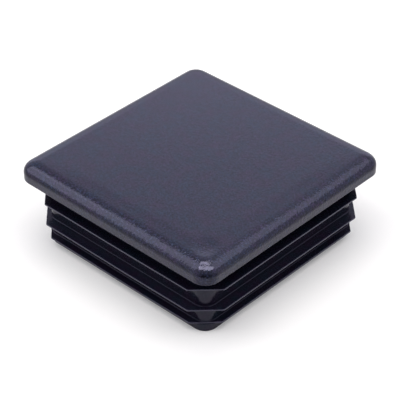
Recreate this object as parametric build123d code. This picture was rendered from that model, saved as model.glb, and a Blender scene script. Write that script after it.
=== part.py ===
from build123d import *
import math
import os

# Square end cap for a square steel tube: a one-piece polyethylene insert.
#
# The cap has a flat square head with a rounded edge, which covers the end of the tube, and a hollow
# square skirt below it, which goes into the bore. Three thin fins run round the skirt. They are a
# little wider than the bore, so they bend and grip when the cap is knocked in.
#
# Frame: +Z is up, out of the tube. The origin is the middle of the seat, which is the plane of the
# head's underside, where the end of the tube stops. Lengths are in millimetres.

# The tube that the cap closes. The head ends flush with it.
tube_width = 60.0
tube_wall = 2.5

# Head: an upright rim face with an elliptical edge above it.
rim_face_height = 1.8       # the upright face between the seat and the rounded edge
edge_height = 2.8           # rise of the rounded edge, from the rim face to the flat top
edge_reach = 3.8            # run of the rounded edge; also the plan radius of the head's corners
seat_edge_radius = 0.15     # the seat's outer edge
seat_root_radius = 0.3      # where the skirt leaves the seat
plate_thickness = 2.5       # wall of the head above the hollow

# Skirt: a thin square wall, open at the bottom.
skirt_depth = 17.8          # from the seat to the foot
skirt_clearance = 1.7       # gap between the skirt and the bore on each side
skirt_wall = 1.9            # at the open end
skirt_corner_radius = 3.3
hollow_draft_deg = 0.5      # the mould core narrows upwards
hollow_roof_radius = 0.8
foot_edge_radius = 0.2

# Fins. A depth is measured from the seat down to the middle of a fin's edge.
first_fin_depth = 5.0
second_fin_depth = 10.8
foot_height = 2.7           # plain skirt below the edge of the lead fin, which goes in first
fin_grip = 1.0              # how far a fin stands past the bore on each side
lead_fin_grip = 0.1
fin_corner_cut = 5.75       # 45 degree cut across each corner of a fin, along the side
lead_fin_corner_cut = 5.2
fin_edge_thickness = 0.42
fin_under_slope_deg = 10.0  # the underside rises outwards from a thicker root; the top is level
fin_root_radius = 0.3       # between the top of a fin and the wall

# Sizes that follow from the ones above.
bore_width = tube_width - 2 * tube_wall
head_thickness = rim_face_height + edge_height
core_width = tube_width - 2 * edge_reach
skirt_width = bore_width - 2 * skirt_clearance
hollow_width = skirt_width - 2 * skirt_wall
hollow_corner_radius = skirt_corner_radius - skirt_wall
hollow_height = skirt_depth + head_thickness - plate_thickness
lead_fin_depth = skirt_depth - foot_height
fin_embed = skirt_wall / 2  # how far a fin's own solid runs on into the wall
quarter_turn = math.degrees(math.pi / 2)


def head():
    """Square plate with a rounded edge. Each corner is the edge's section turned about the corner."""
    section = Plane.XZ * make_face(
        [
            Line((0, 0), (edge_reach, 0)),
            Line((edge_reach, 0), (edge_reach, rim_face_height)),
            EllipticalCenterArc((0, rim_face_height), edge_reach, edge_height, 0, arc_size=quarter_turn),
            Line((0, head_thickness), (0, 0)),
        ]
    )
    side = Pos(core_width / 2, core_width / 2, 0) * extrude(section, core_width)
    corner = Pos(core_width / 2, core_width / 2, 0) * revolve(section, Axis.Z, quarter_turn)
    core = Box(core_width, core_width, head_thickness, align=(Align.CENTER, Align.CENTER, Align.MIN))
    quarters = [Rot(0, 0, turn * quarter_turn) * piece for turn in range(4) for piece in (side, corner)]
    plate = core + quarters
    seat_edges = plate.faces().sort_by(Axis.Z)[0].edges()
    return fillet(seat_edges, seat_edge_radius)


def skirt():
    """Solid block of the skirt, from the foot up into the head. The hollow is cut last."""
    outline = Pos(0, 0, -skirt_depth) * RectangleRounded(skirt_width, skirt_width, skirt_corner_radius)
    block = extrude(outline, skirt_depth + rim_face_height)
    foot_edges = block.faces().sort_by(Axis.Z)[0].edges()
    return fillet(foot_edges, foot_edge_radius)


def fin(depth, width, corner_cut):
    """One fin as a full plate: an even edge band with a level top, and a wedge under it."""
    square = Rectangle(width, width)
    outline = Pos(0, 0, -depth - fin_edge_thickness / 2) * chamfer(square.vertices(), corner_cut)
    band = extrude(outline, fin_edge_thickness)
    run = (width - skirt_width) / 2 + fin_embed
    wedge_height = run * math.tan(math.radians(fin_under_slope_deg))
    wedge = extrude(outline, -wedge_height, taper=quarter_turn - fin_under_slope_deg)
    return band + wedge


def fins():
    """The two gripping fins, and the smaller one that leads the cap into the bore."""
    grip_width = bore_width + 2 * fin_grip
    lead_width = bore_width + 2 * lead_fin_grip
    return [
        fin(first_fin_depth, grip_width, fin_corner_cut),
        fin(second_fin_depth, grip_width, fin_corner_cut),
        fin(lead_fin_depth, lead_width, lead_fin_corner_cut),
    ]


def inner_edges(body, height):
    """The edges where the wall meets the level face at this height."""
    level = min(body.faces().filter_by(Axis.Z), key=lambda face: abs(face.center().Z - height))
    return level.inner_wires()[0].edges()


def finned_skirt():
    """Skirt and fins in one, with a small radius where the top of each fin meets the wall."""
    body = skirt() + fins()
    root_edges = []
    for depth in (first_fin_depth, second_fin_depth, lead_fin_depth):
        root_edges += inner_edges(body, -depth + fin_edge_thickness / 2)
    return fillet(root_edges, fin_root_radius)


def hollow():
    """The mould core: open at the foot, drafted, with a rounded roof."""
    mouth = Pos(0, 0, -skirt_depth) * RectangleRounded(hollow_width, hollow_width, hollow_corner_radius)
    core = extrude(mouth, hollow_height, taper=hollow_draft_deg)
    roof_edges = core.faces().sort_by(Axis.Z)[-1].edges()
    return fillet(roof_edges, hollow_roof_radius)


def end_cap():
    """Head, skirt and fins moulded in one, less the hollow."""
    body = head() + finned_skirt()
    rooted = fillet(inner_edges(body, 0), seat_root_radius)
    return rooted - hollow()


os.makedirs("parts", exist_ok=True)
cap = end_cap()
export_step(cap, "parts/end_cap.step")
print("end cap", cap.bounding_box().size, "volume", round(cap.volume), "mm3")
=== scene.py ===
# %% [markdown]
# # Square end cap for a steel tube
# The real cap is one piece of polyethylene, moulded in one shot. It has a flat head with a rounded edge, a
# hollow square skirt, and three thin fins round the skirt that grip the inside of the tube.
#
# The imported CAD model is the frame: it says where the cap stands and how large it is. The lesson builds the
# surface that the eye sees in exactly that place, with Geometry Nodes, and gives it its moulded finish.

# %% Load the frame
import math

import bmesh
import bpy
from mathutils import Matrix, Vector


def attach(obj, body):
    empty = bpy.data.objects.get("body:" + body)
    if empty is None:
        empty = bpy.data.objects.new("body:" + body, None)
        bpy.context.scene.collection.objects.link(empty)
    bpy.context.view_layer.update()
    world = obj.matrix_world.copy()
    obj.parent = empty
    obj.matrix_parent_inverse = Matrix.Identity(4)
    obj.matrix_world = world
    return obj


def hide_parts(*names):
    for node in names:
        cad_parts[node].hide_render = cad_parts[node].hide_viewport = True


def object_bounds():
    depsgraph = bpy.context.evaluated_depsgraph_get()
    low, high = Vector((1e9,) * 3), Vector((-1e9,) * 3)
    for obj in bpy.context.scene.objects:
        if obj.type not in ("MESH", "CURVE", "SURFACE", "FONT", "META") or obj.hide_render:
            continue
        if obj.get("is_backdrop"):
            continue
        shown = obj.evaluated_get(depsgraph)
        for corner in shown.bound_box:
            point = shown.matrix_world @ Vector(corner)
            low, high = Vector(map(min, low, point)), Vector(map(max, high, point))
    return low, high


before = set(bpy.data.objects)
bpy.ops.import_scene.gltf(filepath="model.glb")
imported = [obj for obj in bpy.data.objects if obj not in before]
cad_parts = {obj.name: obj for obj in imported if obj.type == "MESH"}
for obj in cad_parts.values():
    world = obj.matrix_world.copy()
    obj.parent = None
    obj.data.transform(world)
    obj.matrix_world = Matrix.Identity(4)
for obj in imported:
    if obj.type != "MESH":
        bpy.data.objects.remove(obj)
cad_low, cad_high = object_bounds()
mm = 0.001
head_half = cad_high.x
head_top = cad_high.z
foot = cad_low.z
print("cap is", round(2 * head_half / mm, 2), "mm wide")
print("top is at", round(head_top / mm, 2), "mm and foot at", round(foot / mm, 2), "mm")

# %% [markdown]
# ## The section of the cap
# Cut the cap through the middle of a side and one closed outline appears: the flat top, the rounded edge,
# the upright rim, the seat that rests on the tube, the wall with its fins, the open foot and the hollow.
# Everything else follows from this outline and from how each part of it turns its corners.
#
# So the outline is drawn once, as stations. A station has its distance from the axis, its height, and three
# corner values: how much is cut off the corner of the square, how round the ends of that cut are, and how
# freely it can bend. A fully round corner is the cut corner whose two rounded ends meet, so one rule covers
# head, skirt and fins.

# %% Stations and corners
round_share = 2 - math.sqrt(2)      # a corner of radius 1 is this much cut, with ends of radius 1
same_place = 0.001 * mm             # a station closer than this to the last one adds nothing
hold_back = 0.06 * mm               # how far from its ends a straight run has its extra stations

stations = []


def round_corner(radius):
    """A fully round corner, stiff."""
    return (radius * round_share, radius, 0.0)


def between(start, end, share):
    """Values part of the way from one set to another."""
    return tuple(a + (b - a) * share for a, b in zip(start, end))


def station(half, height, corner):
    """Adds one point of the section, unless it repeats the last one."""
    entry = (half, height) + tuple(corner)
    if not stations or math.dist(stations[-1][:2], entry[:2]) > same_place:
        stations.append(entry)


def run(end_half, end_height, end_corner, hold=hold_back, steps=1):
    """A straight run from the last station. A close station at each end keeps its shading flat."""
    half, height = stations[-1][:2]
    corner = stations[-1][2:]
    length = math.dist((half, height), (end_half, end_height))
    shares = [i / steps for i in range(1, steps)]
    if length > 4 * hold:
        shares = [hold / length] + shares + [1 - hold / length]
    for share in shares + [1]:
        there = between((half, height), (end_half, end_height), share)
        station(there[0], there[1], between(corner, end_corner, share))


def arc(centre_half, centre_height, reach, rise, start, end, steps, corner_at):
    """Part of an ellipse. Angles are in degrees from straight out, turning up."""
    for i in range(steps + 1):
        angle = math.radians(start + (end - start) * i / steps)
        half = centre_half + reach * math.cos(angle)
        height = centre_height + rise * math.sin(angle)
        station(half, height, corner_at(half))


print("a round corner of 1 mm has", round(round_share, 3), "mm cut off")

# %% [markdown]
# ## The head
# The head is a plate with a pillow edge: the flat top rolls over along a quarter of an ellipse, wider than
# it is high, into a short upright rim. The corner radius shrinks on the way up, from that of the rim to
# almost none at the flat top, so that the edge rolls round a corner as it does along a side.
#
# The rings of the flat top lie close together near the edge, where a shallow sink mark will press them
# down.

# %% Draw the head
edge_reach = 3.8 * mm
edge_rise = 2.8 * mm
rim_height = head_top - edge_rise
core_half = head_half - edge_reach
core_round = 0.6 * mm
seat_edge = 0.15 * mm
fine_rings = 15
fine_step = 0.5 * mm
fine_start = core_half - fine_rings * fine_step


def head_corner(half):
    """The corner of the rounded edge, at this distance from the axis."""
    return round_corner(core_round + (half - core_half) * (edge_reach - core_round) / edge_reach)


station(0, head_top, round_corner(0))
for share in (0.25, 0.5, 0.75):
    station(fine_start * share, head_top, round_corner(core_round * share))
for i in range(fine_rings, 0, -1):
    station(core_half - i * fine_step, head_top, round_corner(core_round))
arc(core_half, rim_height, edge_reach, edge_rise, 90, 0, 20, head_corner)
run(head_half, seat_edge, head_corner(head_half))
arc(head_half - seat_edge, seat_edge, seat_edge, seat_edge, 0, -90, 4, head_corner)
print("head drawn with", len(stations), "stations")

# %% [markdown]
# ## The skirt and its fins
# The skirt is a thin wall a little smaller than the bore. Each fin is a thin blade: level on top, rising
# underneath from a thicker root, with a small fillet where it leaves the wall. Its corners are cut at 45
# degrees, so that the blade can fold down in the corners of the tube. The three blades differ only in depth
# and reach, so one function draws a blade and a loop calls it.

# %% Draw the skirt and the fins
skirt_half = 25.8 * mm
skirt_round = 3.3 * mm
seat_fillet = 0.3 * mm
fin_fillet = 0.3 * mm
under_fillet = 0.3 * mm
fin_edge = 0.42 * mm
tip_round = 0.09 * mm
tip_hold = 0.04 * mm
under_slope = math.radians(10)
cut_round = 0.5 * mm
fins = (                            # depth of the edge's middle, half width, corner cut
    (5.0 * mm, 28.5 * mm, 5.75 * mm),
    (10.8 * mm, 28.5 * mm, 5.75 * mm),
    (15.1 * mm, 27.6 * mm, 5.2 * mm),
)


def skirt_corner(half):
    """The corner of the skirt and of what stands on it, with one centre for all of them."""
    return round_corner(skirt_round + half - skirt_half)


def fin(depth, tip_half, corner_cut):
    """One blade: down the wall to its root, out along the top, round the edge and back underneath."""
    top = -depth + fin_edge / 2
    bottom = -depth - fin_edge / 2
    tip = (corner_cut, cut_round, 1.0)
    run(skirt_half, top + fin_fillet, skirt_corner(skirt_half))
    arc(skirt_half + fin_fillet, top + fin_fillet, fin_fillet, fin_fillet, 180, 270, 6, skirt_corner)
    run(tip_half - tip_round, top, tip, steps=4)
    arc(tip_half - tip_round, top - tip_round, tip_round, tip_round, 90, 0, 3, lambda half: tip)
    run(tip_half, bottom + tip_round, tip, hold=tip_hold)
    arc(tip_half - tip_round, bottom + tip_round, tip_round, tip_round, 0, -80, 3, lambda half: tip)
    root_half = skirt_half + under_fillet
    root_bottom = bottom - (tip_half - skirt_half) * math.tan(under_slope)
    under_rise = (root_half - skirt_half) * math.tan(under_slope)
    run(root_half, root_bottom + under_rise, skirt_corner(root_half), steps=4)
    arc(root_half, root_bottom - under_fillet, under_fillet, under_fillet, 95, 180, 5, skirt_corner)


run(skirt_half + seat_fillet, 0, skirt_corner(skirt_half + seat_fillet))
arc(skirt_half + seat_fillet, -seat_fillet, seat_fillet, seat_fillet, 90, 180, 5, skirt_corner)
for depth, tip_half, corner_cut in fins:
    fin(depth, tip_half, corner_cut)
print("skirt and", len(fins), "fins drawn, stations so far", len(stations))

# %% [markdown]
# ## The foot and the hollow
# The foot is the narrow rim that enters the tube first, with softened edges. Inside, the wall leans by half
# a degree, so that the steel core of the mould could be drawn out, and the roof has a small radius. Cutting
# the hollow out of a solid would also work, but here it is only the last stretch of the same outline.

# %% Draw the foot and the hollow
foot_round = 0.2 * mm
wall = 1.9 * mm
hollow_half = skirt_half - wall
hollow_round = skirt_round - wall
draft = math.radians(0.5)
plate = 2.5 * mm
roof = head_top - plate
roof_fillet = 0.8 * mm


def inner_half(height):
    """How far the hollow's wall is from the axis, at this height."""
    return hollow_half - (height - foot) * math.tan(draft)


def hollow_corner(half):
    """The corner of the hollow, which shrinks with it."""
    return round_corner(hollow_round * half / hollow_half)


run(skirt_half, foot + foot_round, skirt_corner(skirt_half))
arc(skirt_half - foot_round, foot + foot_round, foot_round, foot_round, 0, -90, 4, skirt_corner)
run(hollow_half + foot_round, foot, skirt_corner(hollow_half + foot_round))
arc(hollow_half + foot_round, foot + foot_round, foot_round, foot_round, 270, 180, 4, skirt_corner)
run(inner_half(roof - roof_fillet), roof - roof_fillet, hollow_corner(inner_half(roof)), steps=4)
arc(inner_half(roof) - roof_fillet, roof - roof_fillet, roof_fillet, roof_fillet, 0, 90, 6, hollow_corner)
run(0, roof, round_corner(0), steps=4)
print("section closed with", len(stations), "stations")

# %% [markdown]
# ## A helper for nodes
# Node trees written in code get long when each node takes four lines. One function adds a node, sets its
# settings and feeds its inputs, each with a value or with another node's output. It hands back one output,
# so that the calls read like a formula. The kinds that come up most often have short names.
#
# An input is called by its name, or by its number where two share a name. In a remap node, 0 is what comes
# in, 1 and 2 are the range that it comes in, and 3 and 4 the range that goes out.

# %% Add a node
number, vector, whole = "ShaderNodeMath", "ShaderNodeVectorMath", "FunctionNodeIntegerMath"
noise, remap, mix = "ShaderNodeTexNoise", "ShaderNodeMapRange", "ShaderNodeMix"
split, combine = "ShaderNodeSeparateXYZ", "ShaderNodeCombineXYZ"


def add(tree, kind, feed=None, out=0, **settings):
    """Adds a node with its settings and links, and gives back one of its outputs."""
    node = tree.nodes.new(kind)
    for name, value in settings.items():
        setattr(node, name, value)
    for key, value in (feed or {}).items():
        if isinstance(value, bpy.types.NodeSocket):
            tree.links.new(value, node.inputs[key])
        else:
            node.inputs[key].default_value = value
    return node.outputs[out] if len(node.outputs) else None


def linear(code):
    """An sRGB hex colour as the linear colour that shaders take."""
    parts = [int(code[i:i + 2], 16) / 255 for i in (0, 2, 4)]
    return tuple(p / 12.92 if p <= 0.04045 else ((p + 0.055) / 1.055) ** 2.4 for p in parts) + (1.0,)


print("middle grey in linear light is", round(linear("808080")[0], 3))

# %% [markdown]
# ## The pigment
# The cap is injection-moulded low-density polyethylene, coloured right through with a blue-black
# masterbatch. One even dark colour would make the large head look like painted card. The real colour clouds
# a little between blue and violet, because the pigment never mixes quite evenly, and dust sits in the grain
# as fine specks. So a soft noise mixes two shades, and a fine noise makes the mix lighter and darker.
#
# The dust is too fine to show from where the cap is seen, so it is drawn coarser. There is more of it on
# the rounded edge, which hands rub, than on the flat top.

# %% Mix the pigment
blotch = 3.5 * mm
speck = 0.45 * mm                   # really well under 0.1 mm
on_flat, on_edge = head_top, head_top - 0.25 * mm
first_shade_at, second_shade_at = 0.36, 0.64
least_dust_at, most_dust_at = 0.3, 0.7
darkest_share = 0.15


def clouded_pigment(tree, place, height, shades, specks):
    """Two shades that cloud into each other, with dust: its strength on the flat top, and below it."""
    mottle = add(tree, noise, {"Vector": place, "Scale": 1 / blotch, "Detail": 2.0, "Roughness": 0.6})
    mixed = add(tree, remap, {0: mottle, 1: first_shade_at, 2: second_shade_at})
    first, second = linear(shades[0]), linear(shades[1])
    pigment = add(tree, mix, {0: mixed, 6: first, 7: second}, out=2, data_type="RGBA")
    dust = add(tree, noise, {"Vector": place, "Scale": 1 / speck, "Detail": 1.0, "Roughness": 0.7})
    swing = add(tree, remap, {0: dust, 1: least_dust_at, 2: most_dust_at, 3: -1.0, 4: 1.0}, clamp=False)
    amount = add(tree, remap, {0: height, 1: on_flat, 2: on_edge, 3: specks[0], 4: specks[1]})
    dusted = add(tree, number, {0: swing, 1: amount, 2: 1.0}, operation="MULTIPLY_ADD")
    kept = add(tree, number, {0: dusted, 1: darkest_share}, operation="MAXIMUM")
    return add(tree, vector, {0: pigment, "Scale": kept}, operation="SCALE")


print("pigment clouds every", round(blotch / mm, 2), "mm, specks are", round(speck / mm, 2), "mm")

# %% [markdown]
# ## The grain
# The mould's steel gives the surface. Its head side is spark-eroded, which leaves an even grain about a
# quarter of a millimetre wide. That is too fine to show from where the cap is seen, so it is drawn 0.6 mm
# wide. The grain is deeper on the rounded edge than on the flat top. The spark wears its electrode as it
# works, so the grain gets shallower, and the edge smoother, towards one side.
#
# Pits in the mesh would take millions of triangles. A bump only turns the light, and takes none.

# %% Cut the grain
grain = 0.6 * mm                    # really about 0.25 mm
worn_end, fresh_end = -30 * mm, 25 * mm
worn_share = 0.35


def eroded_grain(tree, place, height, depths):
    """The grain as a bump: its depth on the flat top, and below it."""
    pits = add(tree, noise, {"Vector": place, "Scale": 1 / grain, "Detail": 1.0, "Roughness": 0.6})
    depth = add(tree, remap, {0: height, 1: on_flat, 2: on_edge, 3: depths[0], 4: depths[1]})
    across = add(tree, split, {0: place}, out="X")
    fresh = add(tree, remap, {0: across, 1: worn_end, 2: fresh_end, 3: worn_share, 4: 1.0})
    cut = add(tree, number, {0: depth, 1: fresh}, operation="MULTIPLY")
    return add(tree, "ShaderNodeBump", {"Height": pits, "Distance": cut, "Strength": 1.0})


print("grain is", round(grain / mm, 2), "mm wide, and at its worn end", worn_share, "as deep")

# %% [markdown]
# ## The plastic
# Pigment and grain come together in one material. Its gloss clouds a little too, because the melt cools
# against the steel at slightly different speeds. The patterns read Object coordinates, in metres, so that
# they stay put on the cap.

# %% Make the plastic
cloud = 14 * mm
gloss_swing = 0.02
glossiest_at, dullest_at = 0.3, 0.7


def moulded_polyethylene(name, shades, sheen_tint, ior, level, roughness, depths, specks):
    """One skin of the plastic. Depths and specks are pairs: on the flat top, and below it."""
    material = bpy.data.materials.new(name)
    material.use_nodes = True
    tree = material.node_tree
    tree.nodes.clear()
    place = add(tree, "ShaderNodeTexCoord", out="Object")
    height = add(tree, split, {0: place}, out="Z")
    clouds = add(tree, noise, {"Vector": place, "Scale": 1 / cloud, "Detail": 3.0})
    glossiest, dullest = roughness - gloss_swing, roughness + gloss_swing
    matt = add(tree, remap, {0: clouds, 1: glossiest_at, 2: dullest_at, 3: glossiest, 4: dullest})
    shader = add(tree, "ShaderNodeBsdfPrincipled", {
        "Base Color": clouded_pigment(tree, place, height, shades, specks),
        "Roughness": matt,
        "IOR": ior,
        "Specular IOR Level": level,
        "Specular Tint": linear(sheen_tint),
        "Normal": eroded_grain(tree, place, height, depths),
    })
    add(tree, "ShaderNodeOutputMaterial", {"Surface": shader})
    return material


print("gloss clouds every", round(cloud / mm, 2), "mm")

# %% [markdown]
# ## Four skins of one plastic
# Polyethylene bends light by about 1.51, and a waxy additive on its skin tints what it mirrors a cool blue.
# Each part of the cap mirrors more or less than that plastic would, so the four skins are lit and shaded
# copies of one material.
#
# - The top and its rounded edge are grained. They mirror more light than the bare plastic would: a painted
#   highlight, which keeps the marks of the lamps on the edge bright while the lamps stay at a plain level.
# - The upright rim has the same grain but mirrors less: painted shade, which darkens what it mirrors.
# - The skirt's side of the mould is polished, and each cap that is drawn off polishes it again, so the skirt
#   is smooth. It mirrors least: painted shade, which darkens what it mirrors of the bright ground by the
#   foot, so it mirrors its own fins clearly but dimly and looks black between them. Its pigment is a little
#   lighter than the head's: painted light that lifts its deep walls.
# - The thin lips of the fins mirror more than the skirt, so they are paler: a painted highlight on each lip.
#
# One shader could switch between these by a mask, but a masked tint or IOR is lost on export. So each skin
# is a material of its own, with plain numbers, and the tree below chooses it face by face.

# %% Make the four skins
# The head's and the lips' level is a painted highlight, the rim's and the skirt's lower level is painted
# shade, and the skirt's lighter shades are painted light in its deep walls.
head_skin = moulded_polyethylene(
    "grained_brightened_polyethylene", shades=("0f1926", "1c1324"), sheen_tint="e3e3ff",
    ior=1.6, level=0.68, roughness=0.14, depths=(0.018 * mm, 0.06 * mm), specks=(1.1, 1.9),
)
rim_skin = moulded_polyethylene(
    "grained_dimmed_polyethylene", shades=("0f1926", "1c1324"), sheen_tint="dadaff",
    ior=1.6, level=0.38, roughness=0.14, depths=(0.018 * mm, 0.06 * mm), specks=(1.1, 1.9),
)
skirt_skin = moulded_polyethylene(
    "smooth_shaded_polyethylene", shades=("161d28", "201828"), sheen_tint="e7e5ff",
    ior=1.51, level=0.30, roughness=0.16, depths=(0.004 * mm, 0.004 * mm), specks=(0.15, 0.15),
)
lip_skin = moulded_polyethylene(
    "brightened_lip_polyethylene", shades=("161d28", "201828"), sheen_tint="dedcff",
    ior=1.6, level=0.58, roughness=0.14, depths=(0.004 * mm, 0.004 * mm), specks=(0.15, 0.15),
)
print("made", [skin.name for skin in (head_skin, rim_skin, skirt_skin, lip_skin)])

# %% [markdown]
# ## Turn the section round the square
# A sweep along a path would cross itself inside the corners, because the head reaches far past any corner
# radius. So a Geometry Nodes tree places the points by rule instead. It lays a grid with one row for each
# station and one column for each step round a quarter of the square, and moves each point to where its
# station and its column say. The sizes that may change are the tree's inputs. The noise in it has a fixed
# seed.

# %% Name the tree's inputs
tree = bpy.data.node_groups.new("turn_section_round_square", "GeometryNodeTree")
chosen = {}
for name, kind, value in (
    ("Section", "NodeSocketGeometry", None),
    ("Side steps", "NodeSocketInt", 24),
    ("Corner steps", "NodeSocketInt", 7),
    ("Cut steps", "NodeSocketInt", 5),
    ("Sides", "NodeSocketInt", 4),
    ("Merge distance", "NodeSocketFloat", 0.005 * mm),
    ("Fin wave", "NodeSocketFloat", 0.12 * mm),
    ("Wave length", "NodeSocketFloat", 30 * mm),
    ("Wave seed", "NodeSocketFloat", 3.0),
    ("Sink place", "NodeSocketVector", (23.5 * mm, -23.5 * mm, head_top)),
    ("Sink floor", "NodeSocketFloat", 0.6 * mm),
    ("Sink reach", "NodeSocketFloat", 3.9 * mm),
    ("Sink depth", "NodeSocketFloat", 0.165 * mm),
    ("Sag corner", "NodeSocketVector", (1, -1, 0)),
    ("Sag start", "NodeSocketFloat", core_half - 3.6 * mm),
    ("Sag end", "NodeSocketFloat", core_half + 0.4 * mm),
    ("Sag depth", "NodeSocketFloat", 0.093 * mm),
    ("Head skin", "NodeSocketMaterial", head_skin),
    ("Rim skin", "NodeSocketMaterial", rim_skin),
    ("Skirt skin", "NodeSocketMaterial", skirt_skin),
    ("Lip skin", "NodeSocketMaterial", lip_skin),
):
    socket = tree.interface.new_socket(name, in_out="INPUT", socket_type=kind)
    if value is not None:
        chosen[socket.identifier] = value
tree.interface.new_socket("Cap", in_out="OUTPUT", socket_type="NodeSocketGeometry")
given = tree.nodes.new("NodeGroupInput").outputs
print("tree takes", len(chosen), "sizes and skins")

# %% [markdown]
# ## The grid
# A grid's points are numbered row by row. Dividing a point's number by the columns in a row gives its row,
# and the remainder gives its column. The row then looks up its station on the section. A quarter of the
# outline has five stretches: half a side, an eighth of a turn, the cut, another eighth, and half of the
# next side.

# %% Lay the grid and number its points
station_count = add(tree, "GeometryNodeAttributeDomainSize", {0: given["Section"]})
side_end = given["Side steps"]
turn_end = add(tree, whole, {0: side_end, 1: given["Corner steps"]})
cut_end = add(tree, whole, {0: turn_end, 1: given["Cut steps"]})
return_end = add(tree, whole, {0: cut_end, 1: given["Corner steps"]})
quarter_end = add(tree, whole, {0: return_end, 1: given["Side steps"]})
columns = add(tree, whole, {0: quarter_end, 1: 1})
grid = add(tree, "GeometryNodeMeshGrid", {"Vertices X": station_count, "Vertices Y": columns})
index = add(tree, "GeometryNodeInputIndex")
row = add(tree, whole, {0: index, 1: columns}, operation="DIVIDE_FLOOR")
column = add(tree, whole, {0: index, 1: columns}, operation="MODULO")
print("grid laid, tree has", len(tree.nodes), "nodes")

# %% [markdown]
# ## Reading the stations
# The section comes in as a line of vertices. A station's place is its vertex's place, and its three corner
# values travel with it as one vector attribute. Sample Index reads both for the row that a point is in.

# %% Read the stations
section_line, sample = given["Section"], "GeometryNodeSampleIndex"
position = add(tree, "GeometryNodeInputPosition")
corner_values = add(tree, "GeometryNodeInputNamedAttribute", {"Name": "corner"}, data_type="FLOAT_VECTOR")
point = add(tree, sample, {0: section_line, 1: position, 2: row}, data_type="FLOAT_VECTOR")
shape = add(tree, sample, {0: section_line, 1: corner_values, 2: row}, data_type="FLOAT_VECTOR")
out_from_axis = add(tree, split, {0: point}, out="X")
level = add(tree, split, {0: point}, out="Z")
cut = add(tree, split, {0: shape}, out="X")
bend = add(tree, split, {0: shape}, out="Y")
flex = add(tree, split, {0: shape}, out="Z")
print("stations read, tree has", len(tree.nodes), "nodes")

# %% [markdown]
# ## Once round a quarter
# Every point of the outline lies on a small arc, the bend, about a centre. The centre slides along the
# first side, stops while the arc turns an eighth, crosses the cut corner, stops for the other eighth, and
# slides along the next side. The steps along a side crowd towards the corner, where the blades wave most
# against the light.

# %% Slide and turn along the quarter
eighth_turn = math.pi / 4
rising = add(tree, remap, {0: column, 1: 0.0, 2: side_end, 3: 1.0, 4: 0.0})
falling = add(tree, remap, {0: column, 1: return_end, 2: quarter_end, 3: 0.0, 4: 1.0})
to_corner = add(tree, number, {0: rising, 1: falling}, operation="MAXIMUM")
crowded = add(tree, number, {0: to_corner, 1: 2.0}, operation="POWER")
along = add(tree, number, {0: 1.0, 1: crowded}, operation="SUBTRACT")
first_turn = add(tree, remap, {0: column, 1: side_end, 2: turn_end, 3: 0.0, 4: eighth_turn})
second_turn = add(tree, remap, {0: column, 1: cut_end, 2: return_end, 3: 0.0, 4: eighth_turn})
turn = add(tree, number, {0: first_turn, 1: second_turn}, operation="ADD")
across = add(tree, remap, {0: column, 1: turn_end, 2: cut_end}, interpolation_type="SMOOTHSTEP")
print("quarter paced, tree has", len(tree.nodes), "nodes")

# %% [markdown]
# ## Where each point goes
# Half a side is the station's distance from the axis, less what the cut takes and less what the bend takes.
# The centre of the bend lies inside the outline by the bend's radius. It has one place for the first side
# and its mirror image for the next, and crossing the cut mixes the two. Last, the quarter is flipped over,
# because a grid built this way has its faces inwards.

# %% Place the points of a quarter
tangent = add(tree, number, {0: bend, 1: math.tan(eighth_turn / 2)}, operation="MULTIPLY")
off_corner = add(tree, number, {0: cut, 1: tangent}, operation="ADD")
straight_half = add(tree, number, {0: out_from_axis, 1: off_corner}, operation="SUBTRACT")
sideways = add(tree, number, {0: straight_half, 1: along}, operation="MULTIPLY")
outwards = add(tree, number, {0: out_from_axis, 1: bend}, operation="SUBTRACT")
first_centre = add(tree, combine, {0: sideways, 1: outwards, 2: level})
second_centre = add(tree, combine, {0: outwards, 1: sideways, 2: level})
centre = add(tree, mix, {0: across, 4: first_centre, 5: second_centre}, out=1, data_type="VECTOR")
sine = add(tree, number, {0: turn}, operation="SINE")
cosine = add(tree, number, {0: turn}, operation="COSINE")
arm = add(tree, combine, {0: sine, 1: cosine})
bent_arm = add(tree, vector, {0: arm, "Scale": bend}, operation="SCALE")
reached = add(tree, vector, {0: centre, 1: bent_arm}, operation="ADD")
flipped = add(tree, vector, {0: reached, 1: (1, -1, 1)}, operation="MULTIPLY")
quarter = add(tree, "GeometryNodeSetPosition", {0: grid, "Position": flipped})
stored = {0: quarter, "Name": "flex", "Value": flex}
supple = add(tree, "GeometryNodeStoreNamedAttribute", stored, data_type="FLOAT")
print("quarter placed, tree has", len(tree.nodes), "nodes")

# %% [markdown]
# ## Four quarters
# The quarter is repeated four times about the axis as an instance, which costs no memory. Here the copies
# have to become one skin, so they are realized and the points along their seams are merged.

# %% Join the quarters
quarter_turn = math.pi / 2
side_number = add(tree, "GeometryNodeInputIndex")
angle = add(tree, number, {0: side_number, 1: quarter_turn}, operation="MULTIPLY")
rotation = add(tree, "FunctionNodeAxisAngleToRotation", {"Axis": (0, 0, 1), "Angle": angle})
marks = add(tree, "GeometryNodeMeshLine", {"Count": given["Sides"], "Offset": (0, 0, 0)})
copies = {"Points": marks, "Instance": supple, "Rotation": rotation}
placed = add(tree, "GeometryNodeInstanceOnPoints", copies)
joined = add(tree, "GeometryNodeRealizeInstances", {0: placed})
closed = add(tree, "GeometryNodeMergeByDistance", {0: joined, "Distance": given["Merge distance"]})
print("quarters joined, tree has", len(tree.nodes), "nodes")

# %% [markdown]
# ## The blades wave
# A perfect shape looks false, so a few small faults of a real moulding follow, all a fraction of a
# millimetre. The blades are too thin to cool flat, so they wave up and down. A slow noise in space gives
# the wave, with a fixed seed as its fourth coordinate. Only points that the section marks as free to bend
# move with it.

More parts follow.
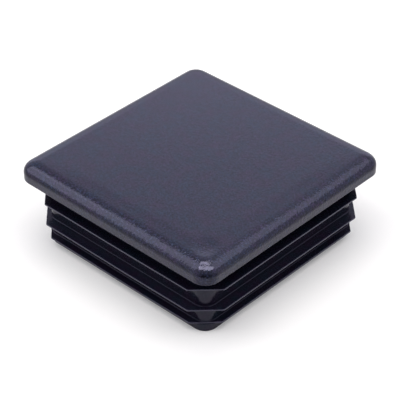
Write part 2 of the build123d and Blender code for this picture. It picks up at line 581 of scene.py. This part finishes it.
# %% Let the blades wave
lowest_at, highest_at = 0.25, 0.75
frequency = add(tree, number, {0: 1.0, 1: given["Wave length"]}, operation="DIVIDE")
slow = {"Scale": frequency, "W": given["Wave seed"], "Detail": 0.0}
swell = add(tree, noise, slow, noise_dimensions="4D")
to_and_fro = add(tree, remap, {0: swell, 1: lowest_at, 2: highest_at, 3: -1.0, 4: 1.0})
limber = add(tree, "GeometryNodeInputNamedAttribute", {"Name": "flex"}, data_type="FLOAT")
swung = add(tree, number, {0: to_and_fro, 1: limber}, operation="MULTIPLY")
wave = add(tree, number, {0: swung, 1: given["Fin wave"]}, operation="MULTIPLY")
print("blades wave, tree has", len(tree.nodes), "nodes")

# %% [markdown]
# ## The top sinks
# Over the thick corner of the skirt the plastic shrinks longest and pulls the top down: a round sink mark.
# Along the two edges that meet at that corner the flat top also steps down a little before the rounded edge
# begins. Both are smooth steps of a distance: from the sink's middle, and from the axis. The sag fades out
# towards the opposite corner.

# %% Sink the top
sag_begins, sag_is_full = -2 * mm, 14 * mm      # from the axis towards the sag corner
below_top, at_top = head_top - 2 * mm, head_top - 0.3 * mm
away = add(tree, vector, {0: position, 1: given["Sink place"]}, out="Value", operation="DISTANCE")
down = add(tree, number, {0: given["Sink depth"], 1: -1.0}, operation="MULTIPLY")
dip = {0: away, 1: given["Sink floor"], 2: given["Sink reach"], 3: down, 4: 0.0}
sink = add(tree, remap, dip, interpolation_type="SMOOTHSTEP")
spread = add(tree, vector, {0: position}, operation="ABSOLUTE")
x_spread = add(tree, split, {0: spread}, out="X")
y_spread = add(tree, split, {0: spread}, out="Y")
wider = add(tree, number, {0: x_spread, 1: y_spread}, operation="MAXIMUM")
step_down = {0: wider, 1: given["Sag start"], 2: given["Sag end"]}
near_edge = add(tree, remap, step_down, interpolation_type="SMOOTHSTEP")
sag_side = add(tree, vector, {0: given["Sag corner"]}, operation="NORMALIZE")
to_sag_corner = add(tree, vector, {0: position, 1: sag_side}, out="Value", operation="DOT_PRODUCT")
nearer = {0: to_sag_corner, 1: sag_begins, 2: sag_is_full}
on_sag_side = add(tree, remap, nearer, interpolation_type="SMOOTHSTEP")
height_now = add(tree, split, {0: position}, out="Z")
on_top = add(tree, remap, {0: height_now, 1: below_top, 2: at_top})
sagging = add(tree, number, {0: near_edge, 1: on_sag_side}, operation="MULTIPLY")
sagging_top = add(tree, number, {0: sagging, 1: on_top}, operation="MULTIPLY")
sag = add(tree, number, {0: sagging_top, 1: given["Sag depth"]}, operation="MULTIPLY")
sunk = add(tree, number, {0: sink, 1: sag}, operation="SUBTRACT")
print("top sinks, tree has", len(tree.nodes), "nodes")

# %% [markdown]
# ## Move the points
# The wave and the sinking are both small moves up or down, so they are added and each point moves once.
# Smooth shading then lets the light run round the edges as it does on the real cap. The flat stretches stay
# flat, because each has a close row of points at both ends.

# %% Move the points
shift = add(tree, number, {0: wave, 1: sunk}, operation="ADD")
offset = add(tree, combine, {2: shift})
settled = add(tree, "GeometryNodeSetPosition", {0: closed, "Offset": offset})
smooth = add(tree, "GeometryNodeSetShadeSmooth", {0: settled})
print("points moved, tree has", len(tree.nodes), "nodes")

# %% [markdown]
# ## Choose the skins
# The tree ends as plain geometry with its materials set, because instances are lost when the cap leaves
# Blender. Every face starts with the skirt's skin, with its painted shade. Faces above the seat change to the
# rim's, also shaded, those higher up on the rounded edge and the top to the head's, with its painted
# highlight, and the edges of the blades to the lips', a painted highlight too.

# %% Set the materials
dimmed_rim_rise = 0.7 * mm              # how far up the rounded edge the rim's skin, with its painted shade, reaches
free_to_bend = 0.995                # of 1: only the edge of a blade is this limber
set_skin = "GeometryNodeSetMaterial"
plain_mesh = add(tree, "GeometryNodeRealizeInstances", {0: smooth})
above_seat = add(tree, number, {0: height_now, 1: 0.0}, operation="GREATER_THAN")
above_rim = add(tree, number, {0: height_now, 1: rim_height + dimmed_rim_rise}, operation="GREATER_THAN")
at_lip = add(tree, number, {0: limber, 1: free_to_bend}, operation="GREATER_THAN")
skirted = add(tree, set_skin, {0: plain_mesh, "Material": given["Skirt skin"]})
rimmed = add(tree, set_skin, {0: skirted, "Selection": above_seat, "Material": given["Rim skin"]})
headed = add(tree, set_skin, {0: rimmed, "Selection": above_rim, "Material": given["Head skin"]})
lipped = add(tree, set_skin, {0: headed, "Selection": at_lip, "Material": given["Lip skin"]})
add(tree, "NodeGroupOutput", {0: lipped})
print("tree finished with", len(tree.nodes), "nodes")

# %% [markdown]
# ## From stations to the cap
# The section becomes a line of vertices with its corner values as an attribute. The tree runs on it once,
# and the result is kept as a plain mesh, because the cap leaves Blender as a mesh. What only the tree
# needed is cleared away: the mark of what may bend, and the empty material slot that the grid brought
# along.

# %% Grow the cap
line = bpy.data.meshes.new("section")
links = [(i, i + 1) for i in range(len(stations) - 1)]
line.from_pydata([(half, 0, height) for half, height, *_ in stations], links, [])
corner = line.attributes.new("corner", "FLOAT_VECTOR", "POINT")
corner.data.foreach_set("vector", [value for entry in stations for value in entry[2:]])
section = bpy.data.objects.new("section", line)
bpy.context.scene.collection.objects.link(section)
modifier = section.modifiers.new("turn", "NODES")
modifier.node_group = tree
for identifier, value in chosen.items():
    modifier[identifier] = value
section.update_tag()
graph = bpy.context.evaluated_depsgraph_get()
grown = section.evaluated_get(graph)
skin = bpy.data.meshes.new_from_object(grown, preserve_all_data_layers=True, depsgraph=graph)
section.modifiers.remove(modifier)
bpy.data.objects.remove(section)
skin.attributes.remove(skin.attributes["flex"])
if skin.materials[0] is None:
    skin.materials.pop(index=0)
cap = bpy.data.objects.new("tube_cap", skin)
bpy.context.scene.collection.objects.link(cap)
print("cap has", len(skin.vertices), "vertices and", len(skin.materials), "materials")

# %% [markdown]
# ## Check the skin
# A solid's skin has no open edge: every edge joins exactly two faces. Its signed volume is positive only
# when its faces point outwards, so a negative one means that they all have to be turned.

# %% Check that the skin is closed
shell = bmesh.new()
shell.from_mesh(skin)
open_edges = sum(1 for edge in shell.edges if len(edge.link_faces) != 2)
volume = shell.calc_volume(signed=True)
if volume < 0:
    bmesh.ops.reverse_faces(shell, faces=shell.faces)
    shell.to_mesh(skin)
triangles = sum(len(face.verts) - 2 for face in shell.faces)
shell.free()
print("cap has", triangles, "triangles,", open_edges, "open edges and", round(volume / mm ** 3), "mm3")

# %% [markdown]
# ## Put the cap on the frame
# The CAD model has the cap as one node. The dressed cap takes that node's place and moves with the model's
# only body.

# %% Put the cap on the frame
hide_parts("end_cap")
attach(cap, "root")
print("the cap stands for end_cap and rides on root")

# %% [markdown]
# ## A painted pool of light
# The cap stands on one flat ground with a pool of light painted on it. Round the cap is a bright white
# square, which keeps the cap's real soft shadow. Beyond it is a slightly dimmer zone, and past that zone's
# sides and near edge a grey: painted shade for light that falls off. Dark plastic mirrors the ground around
# it, so how far each zone reaches matters. The upright rim mirrors the bright square, the place where the
# rounded edge begins mirrors the dimmer zone, and a little higher the edge mirrors the painted shade past
# its sides and its near edge. Soft fades between them give the rim its even change from light to dark.
#
# One sheet with a changing colour does for all three. The fades of the dimmer zone are measured across and
# along one direction, in which the camera below will look, and those of the bright square from the cap's
# own middle.

# %% Paint the pool of light and its shade
view_azimuth = math.radians(43.42)
bright_pool_edge, bright_pool_gone = 48 * mm, 53.5 * mm
dim_pool_side, painted_shade_side = 90 * mm, 130 * mm
dim_pool_near, painted_shade_near = -70 * mm, -108 * mm
dim_pool_grey, side_shade_grey = 0.33, 0.7   # shares of the painted shade's grey
painted_pool_white, painted_shade_grey = linear("e6e6de"), linear("737370")
ground = bpy.data.materials.new("ground_with_painted_pool_of_light")
ground.use_nodes = True
paint = ground.node_tree
paint.nodes.clear()
spot = add(paint, "ShaderNodeTexCoord", out="Object")
turned = {"Vector": spot, "Angle": -view_azimuth}
faced = add(paint, "ShaderNodeVectorRotate", turned, rotation_type="Z_AXIS")
across_view = add(paint, split, {0: faced}, out="X")
along_view = add(paint, split, {0: faced}, out="Y")
aside = add(paint, number, {0: across_view}, operation="ABSOLUTE")
one_side = add(paint, vector, {0: spot}, operation="ABSOLUTE")
x_out = add(paint, split, {0: one_side}, out="X")
y_out = add(paint, split, {0: one_side}, out="Y")
outward = add(paint, number, {0: x_out, 1: y_out}, operation="MAXIMUM")
grey = 0.0
# The white round the cap is a painted pool of light, and the grey beyond it painted shade.
for distance, start, end, share in (
    (outward, bright_pool_edge, bright_pool_gone, dim_pool_grey),
    (aside, dim_pool_side, painted_shade_side, side_shade_grey),
    (along_view, dim_pool_near, painted_shade_near, 1.0),
):
    fade = {0: distance, 1: start, 2: end, 4: share}
    faded = add(paint, remap, fade, interpolation_type="SMOOTHSTEP")
    grey = add(paint, number, {0: grey, 1: faded}, operation="MAXIMUM")
shade = add(paint, mix, {0: grey, 6: painted_pool_white, 7: painted_shade_grey}, out=2, data_type="RGBA")
matt_ground = add(paint, "ShaderNodeBsdfDiffuse", {"Color": shade})
print("ground shaded from card at", round(bright_pool_edge / mm), "mm to table at", round(painted_shade_side / mm), "mm")

# %% [markdown]
# ## A ground that looks white
# More light would make the ground pure white, but the cap too pale. Instead the ground glows a little, only
# for rays that see it directly, mirrored or through glass. That adds no light to the cap's own colour, and
# the shadow stays. Where the ground is grey it glows for direct rays alone: from every side the cap stands
# on plain white, and what the cap mirrors stays grey. Neither glow is a lamp, so Blender is told not to aim
# light rays at the ground.

# %% Let the ground glow
white_glow, grey_glow = 0.22, 1.25
ground.cycles.emission_sampling = "NONE"
rays = add(paint, "ShaderNodeLightPath").node.outputs
camera_ray = rays["Is Camera Ray"]
bounced = {0: rays["Is Glossy Ray"], 1: rays["Is Transmission Ray"]}
bounced_ray = add(paint, number, bounced, operation="MAXIMUM")
seen = add(paint, number, {0: camera_ray, 1: bounced_ray}, operation="MAXIMUM")
white = add(paint, number, {0: 1.0, 1: grey}, operation="SUBTRACT")
seen_white = add(paint, number, {0: seen, 1: white}, operation="MULTIPLY")
seen_grey = add(paint, number, {0: camera_ray, 1: grey}, operation="MULTIPLY")
white_gleam = add(paint, number, {0: seen_white, 1: white_glow}, operation="MULTIPLY")
both_gleams = {0: seen_grey, 1: grey_glow, 2: white_gleam}
gleam = add(paint, number, both_gleams, operation="MULTIPLY_ADD")
glowing = add(paint, "ShaderNodeEmission", {"Color": linear("ffffff"), "Strength": gleam})
lifted = add(paint, "ShaderNodeAddShader", {0: matt_ground, 1: glowing})
add(paint, "ShaderNodeOutputMaterial", {"Surface": lifted})
print("ground material has", len(paint.nodes), "nodes")

# %% [markdown]
# ## The table
# The table is one flat square of eight metres, so that its edge lies far off, where everything is white. It
# lies a hair below the foot, because two surfaces in exactly the same place fight for each pixel. It is
# stage, not part of the cap.

# %% Lay the table
table_reach = 4.0
table_gap = 0.02 * mm
table_top = foot - table_gap
corner_signs = ((-1, -1), (1, -1), (1, 1), (-1, 1))
corners = [(x * table_reach, y * table_reach, table_top) for x, y in corner_signs]
sheet = bpy.data.meshes.new("table")
sheet.from_pydata(corners, [], [(0, 1, 2, 3)])
sheet.materials.append(ground)
table = bpy.data.objects.new("table", sheet)
bpy.context.scene.collection.objects.link(table)
table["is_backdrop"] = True
print("table at", round(table_top / mm, 2), "mm")

# %% [markdown]
# ## The lamps
# Black plastic shows its surroundings more than itself, so the light is a set of soft panels. Two round
# ones hang overhead, one behind the other, and give the two bright marks on the nearest corner. A tall one
# at the left and one at the right draw the pale strips along the rounded edge. Three small ones refine
# these: one adds a bright line to the far end of the left strip, and two fill the dark line above the right
# one.
#
# A panel's strength is given as its brightness, where 1 is white paper in this light, and its power follows
# from its size.

# %% Hang the panels
up = Vector((0, 0, 1))
to_viewer = Vector((math.sin(view_azimuth), -math.cos(view_azimuth), 0))
overhead_white, side_white = (1.04, 1.0, 1.04), (0.99, 0.99, 1.07)
ceiling, wall_away = 1.03, 1.2      # distances in metres from the cap


def panel(name, direction, distance, width, height, brightness, colour, shape="RECTANGLE"):
    """A soft panel that faces the cap."""
    fill = math.pi / 4 if shape == "ELLIPSE" else 1
    lamp = bpy.data.lights.new(name, "AREA")
    lamp.shape = shape
    lamp.size = width
    lamp.size_y = height
    lamp.energy = brightness * math.pi * width * height * fill
    lamp.color = colour
    holder = bpy.data.objects.new(name, lamp)
    towards = Vector(direction).normalized()
    holder.location = towards * distance
    holder.rotation_euler = towards.to_track_quat("Z", "Y").to_euler()
    bpy.context.scene.collection.objects.link(holder)


viewer_side, far_side = up + to_viewer * 0.24, up - to_viewer * 0.26
panel("overhead", viewer_side, ceiling, 1.44, 0.54, 3.1, overhead_white, "ELLIPSE")
panel("overhead_behind", far_side, ceiling, 0.70, 0.36, 3.0, overhead_white, "ELLIPSE")
panel("left", (-0.615, -0.429, 0.661), wall_away, 0.71, 1.36, 0.9, side_white)
panel("left_line", (-0.645, -0.262, 0.718), wall_away, 0.15, 0.30, 0.5, side_white, "ELLIPSE")
panel("right", (0.375, 0.559, 0.758), wall_away, 0.75, 0.68, 0.72, side_white)
panel("right_fill", (-0.08, 0.575, 0.81), wall_away, 0.44, 0.40, 0.2, side_white)
panel("right_back", (-0.39, 0.583, 0.71), wall_away, 0.23, 0.19, 0.14, side_white)
print("hung", len(bpy.data.lights), "panels")

# %% [markdown]
# ## The room
# The flat head mirrors the far wall of the room. Its paint says how bright that wall is at each height: a
# bright band low down, which the back of the head shows, and dimmer wall above, which the front of it
# shows. Towards the viewer the room is dark, as in a tent that is open at the front, and so the skirt stays
# black. The shares run from straight behind the cap (0) through overhead (0.5) to straight behind the
# viewer (1).
#
# Seen directly, the room is plain white, so that the background is the same from every side. Mirrored rays
# still meet the painted walls, because they give the plastic its depth.

# %% Paint the room
room_white = (0.98, 0.98, 1.16)
walls = (                           # share of the way round, brightness
    (0.0, 0.5), (0.03, 0.75), (0.058, 1.0), (0.076, 1.12), (0.087, 0.82), (0.108, 0.60),
    (0.16, 0.54), (0.21, 0.47), (0.33, 0.42), (0.59, 0.58), (0.88, 0.34), (1.0, 0.07),
)
world = bpy.data.worlds.new("pale_room")
world.use_nodes = True
bpy.context.scene.world = world
room = world.node_tree
room.nodes.clear()
looked_at = add(room, "ShaderNodeTexCoord", out="Generated")
facing = add(room, vector, {0: looked_at, 1: to_viewer}, out="Value", operation="DOT_PRODUCT")
way_round = add(room, remap, {0: facing, 1: -1.0, 2: 1.0})
wall_colour = add(room, "ShaderNodeValToRGB", {0: way_round})
stops = wall_colour.node.color_ramp.elements
while len(stops) < len(walls):
    stops.new(0.5)
for stop, (where, brightness) in zip(stops, walls):
    stop.position = where
    stop.color = tuple(brightness * part for part in room_white) + (1.0,)
painted = add(room, "ShaderNodeBackground", {"Color": wall_colour, "Strength": 1.0})
plain = add(room, "ShaderNodeBackground", {"Color": linear("ffffff"), "Strength": 1.0})
paths = add(room, "ShaderNodeLightPath").node.outputs
direct = {0: paths["Is Camera Ray"], 1: paths["Is Transmission Ray"]}
unreflected = add(room, number, direct, operation="MAXIMUM")
background = add(room, "ShaderNodeMixShader", {0: unreflected, 1: painted, 2: plain})
add(room, "ShaderNodeOutputWorld", {"Surface": background})
print("room painted in", len(stops), "steps")

# %% [markdown]
# ## The camera
# A long lens about 0.37 m away looks down at a corner of the cap, almost along the diagonal. Its axes are
# worked out from its azimuth and elevation, with a slight roll, and it is moved aside within its own
# picture plane to centre the cap. Nothing is blurred by depth.

# %% Set the camera
view_elevation = math.radians(36.58)
roll = math.radians(-0.27)
camera_distance = 369.3 * mm
camera_aside = -0.107 * mm
camera_lift = -6.14 * mm
back = to_viewer * math.cos(view_elevation) + up * math.sin(view_elevation)
level_right = Vector((math.cos(view_azimuth), math.sin(view_azimuth), 0))
level_up = back.cross(level_right)
camera_right = level_right * math.cos(roll) + level_up * math.sin(roll)
camera_up = level_up * math.cos(roll) - level_right * math.sin(roll)
lens = bpy.data.cameras.new("camera")
lens.sensor_width = 36.0
lens.lens = 143.17
lens.clip_start = 0.01
camera = bpy.data.objects.new("camera", lens)
camera.matrix_world = Matrix((camera_right, camera_up, back)).transposed().to_4x4()
camera.location = back * camera_distance + camera_right * camera_aside + camera_up * camera_lift
bpy.context.scene.collection.objects.link(camera)
bpy.context.scene.camera = camera
bpy.context.scene.view_settings.view_transform = "Standard"
print("camera at", [round(part, 3) for part in camera.location])

# %% Print the sizes
shown_low, shown_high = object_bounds()
boxes = {"cad": [list(cad_low), list(cad_high)], "shown": [list(shown_low), list(shown_high)]}
for name, (low, high) in boxes.items():
    print(name, [round(part / mm, 3) for part in (*low, *high)])
